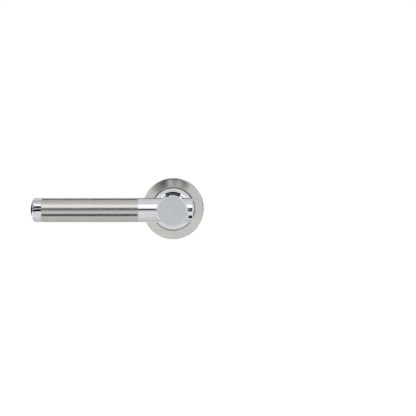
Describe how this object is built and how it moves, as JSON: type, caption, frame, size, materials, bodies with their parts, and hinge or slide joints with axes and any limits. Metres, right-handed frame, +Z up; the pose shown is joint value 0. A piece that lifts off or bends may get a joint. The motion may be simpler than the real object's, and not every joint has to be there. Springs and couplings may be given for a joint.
{
  "type": "door lever handle",
  "caption": "Round-bar door lever on a sprung round rose, with a satin grip, polished neck, sleeve and end cap, and a square spindle; one side of a door.",
  "frame": {"origin": "on the spindle's axis, in the plane of the door's face", "axes": "+X along the door away from the grip, so the lever points to -X; +Y into the door; +Z up"},
  "size_m": [0.143, 0.132, 0.052],
  "materials": {
    "polished_chrome": "bright polished chrome plate",
    "polished_disc": "polished chrome plate, flat insert",
    "satin_nickel_rose": "satin nickel plate, brushed in circles",
    "satin_nickel_grip": "satin nickel plate, brushed round the tube",
    "zinc_casting": "die-cast zinc, as cast",
    "zinc_plated_steel": "zinc plated steel",
    "spring_steel": "bare spring steel",
    "black_oxide_steel": "black oxide steel",
    "nylon": "natural white nylon",
    "black_rubber": "black nitrile rubber"
  },
  "bodies": {
    "rose": {"backplate": "zinc_casting", "bolt_posts": "zinc_plated_steel", "wood_screws": "zinc_plated_steel", "neck_bush": "nylon", "thrust_washer": "nylon", "return_spring": "spring_steel", "cover_grip_ring": "black_rubber"},
    "cover": {"rose_cover": "satin_nickel_rose", "rose_ring": "polished_chrome"},
    "lever": {"neck_post": "polished_chrome", "crossbar": "polished_chrome", "crossbar_screw": "black_oxide_steel", "face_disc": "polished_disc", "grip_tube": "satin_nickel_grip", "end_cap": "polished_chrome", "grub_screw": "black_oxide_steel", "spindle": "zinc_plated_steel", "spring_driver": "zinc_plated_steel", "retaining_washer": "spring_steel", "circlip": "black_oxide_steel"}
  },
  "joints": [
    {"name": "lever_turn", "type": "hinge", "parent": "rose", "child": "lever", "pos_m": [0, 0, 0], "axis": [0, -1, 0], "range_deg": [0, 45], "stiffness_Nm_per_rad": 0.6, "springref_deg": -45.84, "deforming": ["return_spring"]},
    {"name": "cover_slide", "type": "slide", "parent": "rose", "child": "cover", "axis": [0, -1, 0], "range_m": [0, 0.024]}
  ]
}
